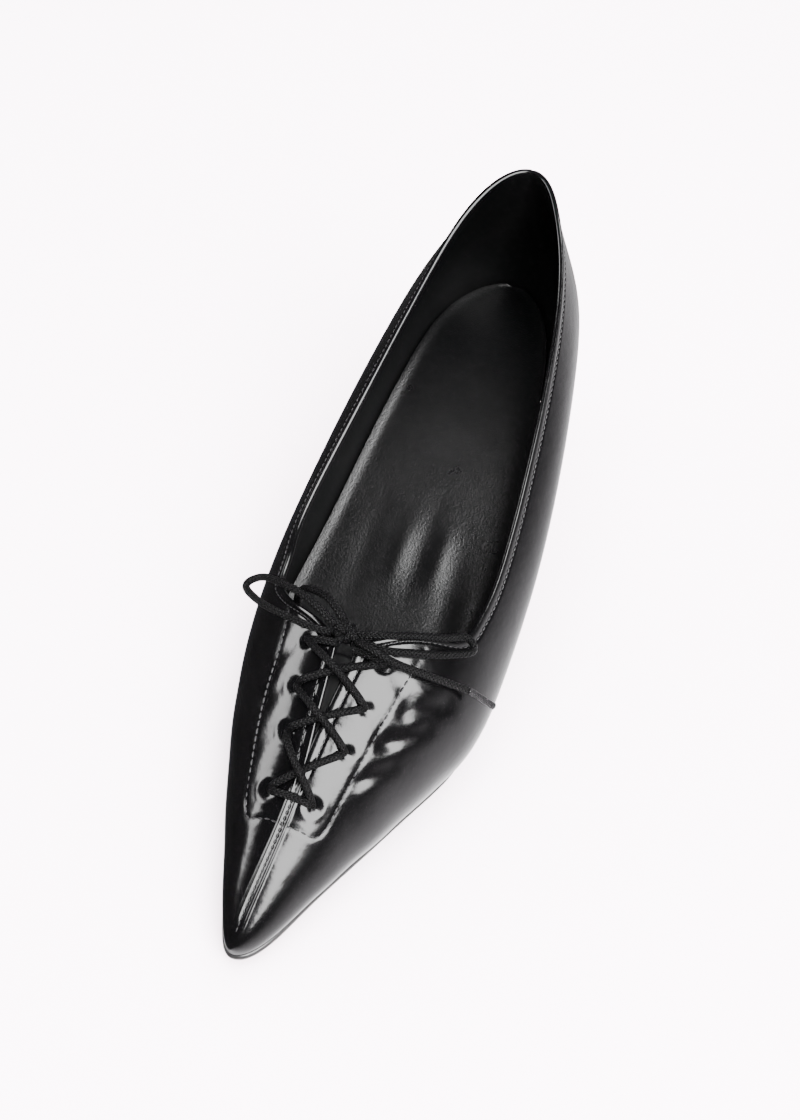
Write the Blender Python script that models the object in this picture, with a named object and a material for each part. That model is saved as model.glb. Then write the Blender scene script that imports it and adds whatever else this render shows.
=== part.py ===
"""Left lace-up court shoe: pointed toe, V-opened vamp with a bow, covered mid heel.

Metres, +Z up. The toe points to -Y, the outer side of the foot is +X, the floor is z = 0.
Every curved piece is worked out from one surface, the shape of the last. The tables place it
from the last's own axis, and the part's origin is the middle of the shoe's footprint.
"""
import math

import bmesh
import bpy
import numpy as np
from mathutils import Vector

MM = 0.001

# Driving sizes, in millimetres
FOOTPRINT_MIDDLE = Vector((2.9, -3.76, 0.0))
SHOE_LENGTH = 252.0
HEEL_BACK_Y = 121.0
UPPER_WALL = 1.6
FIT_GAP = 0.3
SOLE_THICKNESS = 2.6
SOLE_EDGE = 0.5
BREAST_STATION = 0.185
BLUNT_HALF = 3.0
THIN_TOE_LENGTH = 20.0
TOE_TIP_WALL_SHARE = 0.45
FEATHER_TOLERANCE = 0.05
INSOLE_THICKNESS = 2.2
INSOLE_BACK = 0.004
INSOLE_FRONT = 0.955
TONGUE_THICKNESS = 1.2
TONGUE_FRONT = 0.860
TONGUE_BACK = 0.675
TONGUE_HALF_FRONT = 8.0
TONGUE_HALF_BACK = 15.0
HEEL_TIP_HEIGHT = 6.0
HEEL_TIP_HALF = 6.2
HEEL_TIP_LENGTH = 12.5
HEEL_TIP_BACK_Y = 112.0
HEEL_FLARE = 3.0
LACE_DIAMETER = 2.4
LACE_LIFT = 1.6
LACE_CROSSING_LIFT = 2.0
RUN_STAGGER = 0.3
LACE_TO_KNOT = 1.6
CORD_STEP = 5.0
AGLET_DIAMETER = 2.4
KNOT_CENTRE = Vector((-0.3, -44.2, 56.5))
KNOT_HALF = (5.0, 3.4, 3.0)
KNOT_RUN_SPREAD = 2.6
KNOT_RUN_DROP = -1.4
KNOT_RUN_STEPS = 4

# How finely each piece is divided
STRIPS_A_ROW = 4
V_STRIPS = 7
VAMP_STRIPS = 16
UPPER_LEVELS = 10
PLATE_STRIPS = 36
HEEL_SIDE_POINTS = 14
HEEL_LEVELS = 10
HEEL_TIP_POINTS = 26
TONGUE_ROWS = 9
TONGUE_COLUMNS = 3
RUN_STEPS = 10
TUBE_SIDES = 8
OUTER = 1
INNER = -1

# The last, a row for each station from the heel back (0) to the toe tip (1):
# half widths and heights in mm, and the level of the widest place as a share of the height.
# Behind the throat the ridge is above the cut topline and only shapes the walls.
LAST_ROWS = (
    # station, outer, inner, feather, ridge, outer bulge, inner bulge, level, ridge x
    (0.00, 0.0, 0.0, 62.0, 137.0, 0.0, 0.0, 0.27, 0.0),
    (0.03, 13.0, -13.0, 61.8, 136.0, 4.0, 4.0, 0.27, 0.0),
    (0.10, 22.0, -22.0, 60.0, 130.0, 7.0, 6.0, 0.27, 0.0),
    (0.20, 27.5, -26.0, 54.5, 116.0, 9.0, 7.0, 0.28, -1.0),
    (0.32, 32.5, -29.5, 41.5, 98.0, 10.2, 7.4, 0.31, -5.0),
    (0.45, 38.0, -33.5, 24.0, 80.0, 9.0, 6.8, 0.34, -8.0),
    (0.57, 41.5, -37.0, 9.4, 64.0, 6.4, 4.4, 0.40, -3.0),
    (0.66, 40.0, -34.5, 3.6, 54.5, 5.4, 3.8, 0.41, 0.0),
    (0.74, 31.9, -29.5, 2.4, 45.5, 4.6, 3.0, 0.42, 0.2),
    (0.82, 22.9, -23.2, 3.2, 35.5, 3.6, 1.7, 0.42, 0.6),
    (0.90, 14.2, -15.0, 4.8, 26.0, 2.4, 1.2, 0.44, 0.0),
    (0.96, 8.3, -8.4, 6.0, 18.5, 1.0, 0.8, 0.48, -1.0),
    (1.00, -1.3, -1.3, 6.6, 10.5, 0.0, 0.0, 0.50, -1.3),
)
SECTION_FULLNESS = 0.86
HEEL_CURVE_OUT = 3.6
HEEL_CURVE_IN = 5.0
COUNTER_HEIGHT = 57.0
HEEL_CURVE_REACH = 0.13

# The upper's top edge along the sides, with the station on the feather line
# where the same strip of leather starts
TOPLINE_ROWS = (
    # station, outer height, inner height, feather station
    (0.000, 116.5, 116.5, 0.000),
    (0.030, 114.5, 115.0, 0.030),
    (0.080, 107.0, 109.5, 0.080),
    (0.160, 95.0, 98.0, 0.160),
    (0.250, 83.5, 86.0, 0.250),
    (0.340, 72.0, 74.0, 0.340),
    (0.430, 60.5, 61.0, 0.430),
    (0.510, 51.8, 51.0, 0.510),
    (0.553, 48.6, 48.0, 0.560),
)

# The throat edge from each side's corner to the top of the V
THROAT_ROWS = (
    # outer station, outer x, inner station, inner x, feather station
    (0.576, 33.0, 0.586, -31.2, 0.594),
    (0.594, 30.0, 0.605, -28.0, 0.620),
    (0.608, 24.0, 0.622, -22.5, 0.648),
    (0.630, 13.5, 0.642, -13.0, 0.678),
    (0.660, 3.6, 0.664, -4.2, 0.708),
)
V_BOTTOM_STATION = 0.806
V_BOTTOM_FEATHER = 0.825

# The punched holes of the lace, from the toe end to the throat
LACE_HOLES = (
    # station, outer x, inner x
    (0.836, 7.0, -7.6),
    (0.771, 10.5, -8.8),
    (0.720, 11.6, -11.4),
    (0.668, 12.0, -12.8),
)

# The routes of the bow, in mm: two loops, two ends and their tips
CORD_ROUTES = {
    "bow_loop_inner": (
        (-5.3, -43.8, 58.2), (-12.6, -40.6, 59.4), (-21.0, -37.0, 58.6), (-29.0, -34.6, 56.4),
        (-35.2, -34.4, 54.2), (-37.8, -37.4, 53.0), (-34.2, -40.6, 53.0), (-27.2, -43.2, 54.0),
        (-19.0, -45.0, 55.4), (-12.0, -46.2, 56.6), (-5.8, -45.8, 56.8),
    ),
    "bow_loop_outer": (
        (4.8, -43.7, 58.4), (12.2, -42.0, 60.0), (20.6, -38.0, 58.9), (28.6, -33.3, 56.4),
        (34.0, -30.8, 54.6), (35.9, -32.8, 53.5), (32.6, -36.0, 53.4), (26.6, -39.6, 54.6),
        (18.7, -43.4, 56.6), (11.4, -45.9, 57.2), (5.6, -45.3, 56.4),
    ),
    "lace_end_inner": (
        (-3.4, -41.5, 58.6), (-9.6, -36.8, 58.9), (-16.0, -33.2, 56.2), (-20.6, -31.4, 52.4),
        (-23.0, -30.6, 47.0), (-23.8, -30.2, 41.6), (-23.6, -30.0, 36.0),
    ),
    "lace_end_outer": (
        (3.1, -47.0, 58.7), (8.8, -49.2, 60.6), (15.6, -49.8, 59.0), (22.0, -48.4, 56.0),
        (28.0, -46.6, 52.8), (33.0, -44.8, 49.8), (37.8, -43.0, 46.8),
    ),
}
AGLET_ROUTES = {
    "aglet_inner": ((-23.6, -30.0, 35.6), (-23.0, -29.8, 30.4), (-22.2, -29.6, 25.2)),
    "aglet_outer": ((38.1, -42.9, 46.6), (42.4, -41.8, 42.8), (46.6, -40.8, 39.0)),
}


def natural_spline(knots, values):
    """A function that gives the natural cubic spline through the knots."""
    count = len(knots)
    spans = [knots[i + 1] - knots[i] for i in range(count - 1)]
    system = np.eye(count)
    right = np.zeros(count)
    for i in range(1, count - 1):
        system[i, i - 1] = spans[i - 1]
        system[i, i] = 2 * (spans[i - 1] + spans[i])
        system[i, i + 1] = spans[i]
        rise_after = (values[i + 1] - values[i]) / spans[i]
        rise_before = (values[i] - values[i - 1]) / spans[i - 1]
        right[i] = 6 * (rise_after - rise_before)
    bends = np.linalg.solve(system, right)

    def value_at(where):
        i = 0
        while i < count - 2 and where > knots[i + 1]:
            i += 1
        span = spans[i]
        ahead = knots[i + 1] - where
        behind = where - knots[i]
        curved = (bends[i] * ahead ** 3 + bends[i + 1] * behind ** 3) / (6 * span)
        low = (values[i] / span - bends[i] * span / 6) * ahead
        high = (values[i + 1] / span - bends[i + 1] * span / 6) * behind
        return float(curved + low + high)

    return value_at


def turn_of(station):
    """Stations spaced as on a half circle, so both ends of the last close round."""
    return math.acos(max(-1.0, min(1.0, 1 - 2 * station))) / math.pi


def station_of(turn):
    return (1 - math.cos(math.pi * turn)) / 2


def column(rows, index):
    return natural_spline([turn_of(row[0]) for row in rows], [row[index] for row in rows])


OUTER_HALF = column(LAST_ROWS, 1)
INNER_HALF = column(LAST_ROWS, 2)
FEATHER = column(LAST_ROWS, 3)
RIDGE = column(LAST_ROWS, 4)
OUTER_BULGE = column(LAST_ROWS, 5)
INNER_BULGE = column(LAST_ROWS, 6)
BULGE_LEVEL = column(LAST_ROWS, 7)
RIDGE_X = column(LAST_ROWS, 8)


def last_point(turn, share, side):
    """A point of the last, in mm: share 0 is the feather line and 1 the ridge."""
    station = station_of(turn)
    half = OUTER_HALF(turn) if side == OUTER else INNER_HALF(turn)
    bulge = OUTER_BULGE(turn) if side == OUTER else INNER_BULGE(turn)
    middle = RIDGE_X(turn)
    feather = FEATHER(turn)
    angle = share * math.pi / 2
    rise = math.sin(angle) ** SECTION_FULLNESS
    level = BULGE_LEVEL(turn)
    power = 1 / level ** 2 - 1
    peak = level * (1 - level ** 2) ** (power / 2)
    swell = rise * max(0.0, 1 - rise ** 2) ** (power / 2) / peak
    height = (RIDGE(turn) - feather) * rise
    near_back = math.exp(-(station / HEEL_CURVE_REACH) ** 2)
    lean = HEEL_CURVE_OUT * swell - HEEL_CURVE_IN * (height / COUNTER_HEIGHT) ** 2
    x = middle + (half - middle) * math.cos(angle) + side * bulge * swell
    y = HEEL_BACK_Y - SHOE_LENGTH * station + near_back * lean
    return Vector((x, y, feather + height))


def skin_normal(turn, share, side):
    """The direction that points out of the last."""
    step = 0.004
    turn_low, turn_high = max(0.001, turn - step), min(0.999, turn + step)
    share_low, share_high = max(0.0, share - step), min(1.0, share + step)
    along = last_point(turn_high, share, side) - last_point(turn_low, share, side)
    around = last_point(turn, share_high, side) - last_point(turn, share_low, side)
    return (around.cross(along) * side).normalized()


def share_at_x(turn, x):
    """The side and share of the place on the last that lies at x."""
    side = OUTER if x >= RIDGE_X(turn) else INNER
    low, high = 0.3, 1.0
    for _ in range(40):
        middle = (low + high) / 2
        if side * (last_point(turn, middle, side).x - x) > 0:
            low = middle
        else:
            high = middle
    return side, (low + high) / 2


def over_skin(station, x, lift):
    """The point that lies `lift` mm above the last at a station and an x."""
    turn = turn_of(station)
    side, share = share_at_x(turn, x)
    return last_point(turn, share, side) + skin_normal(turn, share, side) * lift


def new_piece(name, mesh, look):
    piece = bpy.data.objects.new(name, mesh)
    bpy.context.scene.collection.objects.link(piece)
    mesh.materials.append(look)
    return piece


def finish_mesh(bm, name, look):
    """Close, orient and place a piece made in millimetres on the last."""
    bmesh.ops.remove_doubles(bm, verts=bm.verts, dist=0.002)
    bmesh.ops.dissolve_degenerate(bm, edges=bm.edges, dist=0.001)
    bmesh.ops.triangulate(bm, faces=bm.faces)
    bmesh.ops.recalc_face_normals(bm, faces=bm.faces)
    bmesh.ops.translate(bm, vec=-FOOTPRINT_MIDDLE, verts=bm.verts)
    bmesh.ops.scale(bm, vec=(MM, MM, MM), verts=bm.verts)
    mesh = bpy.data.meshes.new(name)
    bm.to_mesh(mesh)
    bm.free()
    mesh.shade_smooth()
    mesh.set_sharp_from_angle(angle=math.radians(40))
    return new_piece(name, mesh, look)


def make_look(name, colour, roughness):
    look = bpy.data.materials.new(name)
    look.use_nodes = True
    shader = look.node_tree.nodes["Principled BSDF"]
    shader.inputs["Base Color"].default_value = (*colour, 1)
    shader.inputs["Roughness"].default_value = roughness
    shader.inputs["Metallic"].default_value = 0
    look.diffuse_color = (*colour, 1)
    return look


def share_at_height(turn, height):
    rise = (height - FEATHER(turn)) / (RIDGE(turn) - FEATHER(turn))
    return math.asin(rise ** (1 / SECTION_FULLNESS)) / (math.pi / 2)


def top_edge(side):
    """Strips of the upper's skin, from the heel back to the toe: where each starts and ends."""
    column_of_side = 1 if side == OUTER else 2
    rows = []
    for row in TOPLINE_ROWS:
        turn = turn_of(row[0])
        rows.append((turn_of(row[3]), turn, share_at_height(turn, row[column_of_side])))
    for outer_station, outer_x, inner_station, inner_x, feather_station in THROAT_ROWS:
        station, x = (outer_station, outer_x) if side == OUTER else (inner_station, inner_x)
        turn = turn_of(station)
        rows.append((turn_of(feather_station), turn, share_at_x(turn, x)[1]))
    places = list(range(len(rows)))
    curves = [natural_spline(places, [row[k] for row in rows]) for k in range(3)]
    strips = []
    for step in range(places[-1] * STRIPS_A_ROW):
        strips.append(tuple(curve(step / STRIPS_A_ROW) for curve in curves))
    v_top = rows[-1]
    v_bottom = (turn_of(V_BOTTOM_FEATHER), turn_of(V_BOTTOM_STATION), 1.0)
    for step in range(V_STRIPS):
        part = step / V_STRIPS
        strips.append(tuple(a + (b - a) * part for a, b in zip(v_top, v_bottom)))
    toe = (1.0, 1.0, 1.0)
    for step in range(VAMP_STRIPS + 1):
        part = step / VAMP_STRIPS
        strips.append(tuple(a + (b - a) * part for a, b in zip(v_bottom, toe)))
    return strips


def make_upper(look):
    """One hollow shell: the last's skin outside, the same skin moved in by the wall inside."""
    bm = bmesh.new()
    for side in (OUTER, INNER):
        rows = []
        for foot_turn, top_turn, top_share in top_edge(side):
            row = []
            for level in range(UPPER_LEVELS + 1):
                part = level / UPPER_LEVELS
                turn = foot_turn + (top_turn - foot_turn) * part
                row.append(bm.verts.new(last_point(turn, top_share * part, side)))
            rows.append(row)
        for before, after in zip(rows, rows[1:]):
            for level in range(UPPER_LEVELS):
                corners = [before[level], before[level + 1], after[level + 1], after[level]]
                bm.faces.new(corners if side == OUTER else corners[::-1])
    bmesh.ops.remove_doubles(bm, verts=bm.verts, dist=0.002)
    bmesh.ops.dissolve_degenerate(bm, edges=bm.edges, dist=0.001)
    bm.normal_update()
    line_the_shell(bm)
    return finish_mesh(bm, "upper", look)


def wall_at(y):
    """The wall thins out in the narrow tip of the toe."""
    from_tip = y - (HEEL_BACK_Y - SHOE_LENGTH)
    return UPPER_WALL * min(1.0, TOE_TIP_WALL_SHARE + from_tip / THIN_TOE_LENGTH)


def on_feather_line(point):
    """True for a point of the skin where the upper meets the sole."""
    turn = turn_of((HEEL_BACK_Y - point.y) / SHOE_LENGTH)
    return abs(point.z - FEATHER(turn)) < FEATHER_TOLERANCE


def line_the_shell(bm):
    """Add the lining side of the open shell and the rims between the two sides."""
    skin_faces = list(bm.faces)
    rim_edges = [edge for edge in bm.edges if edge.is_boundary]
    feather_verts = {vert for edge in rim_edges for vert in edge.verts if on_feather_line(vert.co)}
    lining = {}
    for vert in list(bm.verts):
        inside = vert.co - vert.normal * wall_at(vert.co.y)
        if vert in feather_verts:
            inside.z = vert.co.z
        lining[vert] = bm.verts.new(inside)
    for face in skin_faces:
        bm.faces.new([lining[vert] for vert in reversed(face.verts)])
    for edge in rim_edges:
        first, second = edge.verts
        bm.faces.new((first, second, lining[second], lining[first]))


def outline_point(turn, side, inset):
    """A point of the feather line moved in by `inset` mm, out where it is negative."""
    point = last_point(turn, 0.0, side)
    length_share = 1 - 2 * inset / SHOE_LENGTH
    middle_y = HEEL_BACK_Y - SHOE_LENGTH / 2
    taper = min(1.0, abs(point.x - RIDGE_X(turn)) / BLUNT_HALF)
    y = middle_y + (point.y - middle_y) * length_share
    return Vector((point.x - side * inset * taper, y, point.z))


def make_plate(name, look, stations, inset, top_of, bottom_of):
    """A layer under the foot: its outline is the feather line, its heights go with the station."""
    corners = ((INNER, top_of), (OUTER, top_of), (OUTER, bottom_of), (INNER, bottom_of))
    bm = bmesh.new()
    rings = []
    for station in stations:
        turn = turn_of(station)
        ring = []
        for side, height_of in corners:
            point = outline_point(turn, side, inset)
            point.z = height_of(turn)
            ring.append(bm.verts.new(point))
        rings.append(ring)
    for before, after in zip(rings, rings[1:]):
        for i in range(4):
            j = (i + 1) % 4
            bm.faces.new((before[i], before[j], after[j], after[i]))
    bm.faces.new(rings[0])
    bm.faces.new(rings[-1])
    return finish_mesh(bm, name, look)


def sole_top(turn):
    return FEATHER(turn) - FIT_GAP


def sole_bottom(turn):
    return max(0.0, FEATHER(turn) - FIT_GAP - SOLE_THICKNESS)


def insole_top(turn):
    return FEATHER(turn) + INSOLE_THICKNESS


def spaced_stations(first, last, count):
    """Stations from first to last, closer together where the outline turns."""
    start, end = turn_of(first), turn_of(last)
    return [station_of(start + (end - start) * i / count) for i in range(count + 1)]


def tip_outline_point(part):
    """The heel tip's outline from its outer breast corner round the back to the inner one."""
    side_run = HEEL_TIP_LENGTH - HEEL_TIP_HALF
    arc = math.pi * HEEL_TIP_HALF
    along = part * (2 * side_run + arc)
    middle_y = HEEL_TIP_BACK_Y - HEEL_TIP_HALF
    if along < side_run:
        return Vector((HEEL_TIP_HALF, middle_y - side_run + along, 0))
    if along > side_run + arc:
        return Vector((-HEEL_TIP_HALF, middle_y - (along - side_run - arc), 0))
    angle = (along - side_run) / HEEL_TIP_HALF
    return Vector((math.cos(angle) * HEEL_TIP_HALF, middle_y + math.sin(angle) * HEEL_TIP_HALF, 0))


def make_heel(look):
    """A covered heel: the seat's outline above flows into the small tip's outline below."""
    breast = BREAST_STATION - FIT_GAP / SHOE_LENGTH
    seat = []
    for side, order in ((OUTER, -1), (INNER, 1)):
        half = [outline_point(turn_of(s), side, 0) for s in spaced_stations(0, breast, HEEL_SIDE_POINTS)]
        seat += half[::order] if side == OUTER else half[1:]
    for point in seat:
        point.z -= FIT_GAP
    count = len(seat) - 1
    tip = [tip_outline_point(i / count) for i in range(count + 1)]
    tip_z = HEEL_TIP_HEIGHT + FIT_GAP
    bm = bmesh.new()
    rings = []
    for level in range(HEEL_LEVELS + 1):
        part = level / HEEL_LEVELS
        spread = part ** HEEL_FLARE
        ring = []
        for high, low in zip(seat, tip):
            x = low.x + (high.x - low.x) * spread
            y = low.y + (high.y - low.y) * spread
            ring.append(bm.verts.new((x, y, tip_z + (high.z - tip_z) * part)))
        rings.append(ring)
    for before, after in zip(rings, rings[1:]):
        for i in range(count + 1):
            j = (i + 1) % (count + 1)
            bm.faces.new((before[i], before[j], after[j], after[i]))
    bm.faces.new(rings[0])
    top = rings[-1]
    for i in range(count // 2):
        corners = [top[i], top[i + 1], top[count - i - 1], top[count - i]]
        bm.faces.new(list(dict.fromkeys(corners)))
    return finish_mesh(bm, "heel", look)


def make_heel_tip(look):
    bm = bmesh.new()
    rings = []
    for height in (0.0, HEEL_TIP_HEIGHT):
        ring = []
        for i in range(HEEL_TIP_POINTS + 1):
            point = tip_outline_point(i / HEEL_TIP_POINTS)
            ring.append(bm.verts.new((point.x, point.y, height)))
        rings.append(ring)
    for i in range(HEEL_TIP_POINTS + 1):
        j = (i + 1) % (HEEL_TIP_POINTS + 1)
        bm.faces.new((rings[0][i], rings[0][j], rings[1][j], rings[1][i]))
    bm.faces.new(rings[0])
    bm.faces.new(rings[1])
    return finish_mesh(bm, "heel_tip", look)


def make_tongue(look):
    """A thin strip that follows the inside of the vamp under the V opening."""
    bm = bmesh.new()
    layers = []
    for depth in (UPPER_WALL + FIT_GAP, UPPER_WALL + FIT_GAP + TONGUE_THICKNESS):
        grid = []
        for row in range(TONGUE_ROWS + 1):
            part = row / TONGUE_ROWS
            station = TONGUE_FRONT + (TONGUE_BACK - TONGUE_FRONT) * part
            half = TONGUE_HALF_FRONT + (TONGUE_HALF_BACK - TONGUE_HALF_FRONT) * part
            middle = RIDGE_X(turn_of(station))
            grid.append([bm.verts.new(over_skin(station, middle + half * across / TONGUE_COLUMNS, -depth))
                         for across in range(-TONGUE_COLUMNS, TONGUE_COLUMNS + 1)])
        layers.append(grid)
    above, below = layers
    last_row, last_column = TONGUE_ROWS, 2 * TONGUE_COLUMNS
    for grid in layers:
        for i in range(last_row):
            for j in range(last_column):
                bm.faces.new((grid[i][j], grid[i][j + 1], grid[i + 1][j + 1], grid[i + 1][j]))
    for i in range(last_row):
        for j in (0, last_column):
            bm.faces.new((above[i][j], above[i + 1][j], below[i + 1][j], below[i][j]))
    for j in range(last_column):
        for i in (0, last_row):
            bm.faces.new((above[i][j], above[i][j + 1], below[i][j + 1], below[i][j]))
    return finish_mesh(bm, "tongue", look)


def frame_round(points, i):
    """Two directions square to a path at its i-th point."""
    ahead = points[min(i + 1, len(points) - 1)] - points[max(i - 1, 0)]
    sideways = ahead.cross(Vector((0, 0, 1)))
    if sideways.length < 1e-6:
        sideways = Vector((1, 0, 0))
    sideways.normalize()
    return sideways, sideways.cross(ahead).normalized()


def add_tube(bm, points, radius):
    rings = []
    for i, point in enumerate(points):
        sideways, upward = frame_round(points, i)
        ring = []
        for k in range(TUBE_SIDES):
            angle = 2 * math.pi * k / TUBE_SIDES
            outward = sideways * math.cos(angle) + upward * math.sin(angle)
            ring.append(bm.verts.new(point + outward * radius))
        rings.append(ring)
    for before, after in zip(rings, rings[1:]):
        for k in range(TUBE_SIDES):
            j = (k + 1) % TUBE_SIDES
            bm.faces.new((before[k], before[j], after[j], after[k]))
    bm.faces.new(rings[0])
    bm.faces.new(rings[-1])


def run_points(start, end, lowest, hump):
    """A taut run of lace over the vamp between two (station, x) places."""
    points = []
    for i in range(RUN_STEPS + 1):
        part = i / RUN_STEPS
        station = start[0] + (end[0] - start[0]) * part
        x = start[1] + (end[1] - start[1]) * part
        lift = lowest + hump * math.sin(math.pi * part) ** 2
        points.append(over_skin(station, x, lift))
    return points


def lace_runs():
    """The bar at the toe end, the crossed runs, and the two runs up to the knot."""
    outer = [(row[0], row[1]) for row in LACE_HOLES]
    inner = [(row[0], row[2]) for row in LACE_HOLES]
    runs = [run_points(inner[0], outer[0], LACE_LIFT, 0.0)]
    for below, above in zip(range(len(LACE_HOLES) - 1), range(1, len(LACE_HOLES))):
        runs.append(run_points(inner[below], outer[above], LACE_LIFT + 0.5 * RUN_STAGGER, 0.0))
        runs.append(run_points(outer[below], inner[above], LACE_LIFT + RUN_STAGGER, LACE_CROSSING_LIFT))
    for (station, x), side in ((outer[-1], OUTER), (inner[-1], INNER)):
        start = over_skin(station, x, LACE_LIFT + 1.5 * RUN_STAGGER)
        end = KNOT_CENTRE + Vector((side * KNOT_RUN_SPREAD, -KNOT_HALF[1] - LACE_TO_KNOT, KNOT_RUN_DROP))
        runs.append([start + (end - start) * i / KNOT_RUN_STEPS for i in range(KNOT_RUN_STEPS + 1)])
    return runs


def make_crossings(look):
    """All the runs between the holes, joined into one solid."""
    pieces = []
    for i, points in enumerate(lace_runs()):
        bm = bmesh.new()
        add_tube(bm, points, LACE_DIAMETER / 2)
        name = "lace_crossings" if i == 0 else f"lace_run_{i}"
        pieces.append(finish_mesh(bm, name, look))
    joined = pieces[0]
    for piece in pieces[1:]:
        piece.hide_render = True
        piece.display_type = "WIRE"
        union = joined.modifiers.new("join_" + piece.name, "BOOLEAN")
        union.operation = "UNION"
        union.solver = "EXACT"
        union.object = piece
    return joined


def make_knot(look):
    bm = bmesh.new()
    bmesh.ops.create_uvsphere(bm, u_segments=14, v_segments=9, radius=1.0)
    bmesh.ops.scale(bm, vec=KNOT_HALF, verts=bm.verts)
    bmesh.ops.translate(bm, vec=KNOT_CENTRE, verts=bm.verts)
    return finish_mesh(bm, "bow_knot", look)


def smooth_route(points, step):
    """Points evenly spaced on a smooth curve through the route's own points, in mm."""
    points = [Vector(point) for point in points]
    knots = [0.0]
    for before, after in zip(points, points[1:]):
        knots.append(knots[-1] + (after - before).length)
    curves = [natural_spline(knots, [point[axis] for point in points]) for axis in range(3)]
    count = max(4, round(knots[-1] / step))
    return [Vector([curve(knots[-1] * i / count) for curve in curves]) for i in range(count + 1)]


def make_cord(name, route, radius, look):
    """A round cord along a route, as a curve with a bevel and closed ends."""
    curve = bpy.data.curves.new(name, "CURVE")
    curve.dimensions = "3D"
    curve.bevel_depth = radius * MM
    curve.bevel_resolution = 2
    curve.use_fill_caps = True
    line = curve.splines.new("POLY")
    points = smooth_route(route, CORD_STEP)
    line.points.add(len(points) - 1)
    for spot, point in zip(line.points, points):
        spot.co = (*((point - FOOTPRINT_MIDDLE) * MM), 1)
    curve.materials.append(look)
    piece = bpy.data.objects.new(name, curve)
    bpy.context.scene.collection.objects.link(piece)
    return piece


def clear_scene():
    for item in list(bpy.data.objects):
        bpy.data.objects.remove(item, do_unlink=True)


def main():
    clear_scene()
    leather = make_look("shoe_leather", (0.012, 0.012, 0.014), 0.18)
    lining = make_look("lining_leather", (0.02, 0.02, 0.022), 0.55)
    sole_leather = make_look("sole_leather", (0.45, 0.30, 0.20), 0.5)
    rubber = make_look("heel_rubber", (0.02, 0.02, 0.02), 0.6)
    cord = make_look("lace_cord", (0.015, 0.015, 0.017), 0.5)
    clear_tip = make_look("lace_tip", (0.35, 0.35, 0.36), 0.2)
    make_upper(leather)
    make_tongue(leather)
    make_plate("insole", lining, spaced_stations(INSOLE_BACK, INSOLE_FRONT, PLATE_STRIPS),
               UPPER_WALL + FIT_GAP, insole_top, FEATHER)
    make_plate("outsole", sole_leather, spaced_stations(BREAST_STATION, 1.0, PLATE_STRIPS),
               -SOLE_EDGE, sole_top, sole_bottom)
    make_heel(leather)
    make_heel_tip(rubber)
    make_crossings(cord)
    make_knot(cord)
    for name, route in CORD_ROUTES.items():
        make_cord(name, route, LACE_DIAMETER / 2, cord)
    for name, route in AGLET_ROUTES.items():
        make_cord(name, route, AGLET_DIAMETER / 2, clear_tip)


main()
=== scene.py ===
"""How the lace-up court shoe looks: glossy black leather, waxed lace, on a pale studio floor.

The shape is worked out in millimetres from the last's tables, then placed in metres.
"""
import math

import bpy
import numpy as np
from mathutils import Euler, Matrix, Vector


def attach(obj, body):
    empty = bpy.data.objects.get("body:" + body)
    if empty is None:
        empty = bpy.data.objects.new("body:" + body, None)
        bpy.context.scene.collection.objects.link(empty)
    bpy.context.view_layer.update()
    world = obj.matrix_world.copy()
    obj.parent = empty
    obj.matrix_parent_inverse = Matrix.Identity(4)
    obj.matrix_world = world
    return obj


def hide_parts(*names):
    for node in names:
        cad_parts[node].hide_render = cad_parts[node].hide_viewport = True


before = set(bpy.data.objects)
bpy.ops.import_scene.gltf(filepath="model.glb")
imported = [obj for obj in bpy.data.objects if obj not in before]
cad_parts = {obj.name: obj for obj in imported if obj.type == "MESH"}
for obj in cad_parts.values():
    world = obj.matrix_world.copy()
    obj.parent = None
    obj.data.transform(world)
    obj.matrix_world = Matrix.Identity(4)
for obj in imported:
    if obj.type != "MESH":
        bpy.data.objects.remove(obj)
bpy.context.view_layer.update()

MM = 0.001
ORIGIN = np.array((2.9, -3.76, 0.0))
OUTER = 1
INNER = -1

# The last and the edges of its upper, in mm
SHOE_LENGTH = 252.0
HEEL_BACK_Y = 121.0
WALL = 1.6
TOE_TIP_WALL_SHARE = 0.45
THIN_TOE_LENGTH = 20.0
BREAST_STATION = 0.185
LAST_ROWS = np.array((
    # station, outer, inner, feather, ridge, outer bulge, inner bulge, level, ridge x
    (0.00, 0.0, 0.0, 62.0, 137.0, 0.0, 0.0, 0.27, 0.0),
    (0.03, 13.0, -13.0, 61.8, 136.0, 4.0, 4.0, 0.27, 0.0),
    (0.10, 22.0, -22.0, 60.0, 130.0, 7.0, 6.0, 0.27, 0.0),
    (0.20, 27.5, -26.0, 54.5, 116.0, 9.0, 7.0, 0.28, -1.0),
    (0.32, 32.5, -29.5, 41.5, 98.0, 10.2, 7.4, 0.31, -5.0),
    (0.45, 38.0, -33.5, 24.0, 80.0, 9.0, 6.8, 0.34, -8.0),
    (0.57, 41.5, -37.0, 9.4, 64.0, 6.4, 4.4, 0.40, -3.0),
    (0.66, 40.0, -34.5, 3.6, 54.5, 5.4, 3.8, 0.41, 0.0),
    (0.74, 31.9, -29.5, 2.4, 45.5, 4.6, 3.0, 0.42, 0.2),
    (0.82, 22.9, -23.2, 3.2, 35.5, 3.6, 1.7, 0.42, 0.6),
    (0.90, 14.2, -15.0, 4.8, 26.0, 2.4, 1.2, 0.44, 0.0),
    (0.96, 8.3, -8.4, 6.0, 18.5, 1.0, 0.8, 0.48, -1.0),
    (1.00, -1.3, -1.3, 6.6, 10.5, 0.0, 0.0, 0.50, -1.3),
))
SECTION_FULLNESS = 0.86
HEEL_CURVE_OUT = 3.6
HEEL_CURVE_IN = 5.0
COUNTER_HEIGHT = 57.0
HEEL_CURVE_REACH = 0.13
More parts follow.
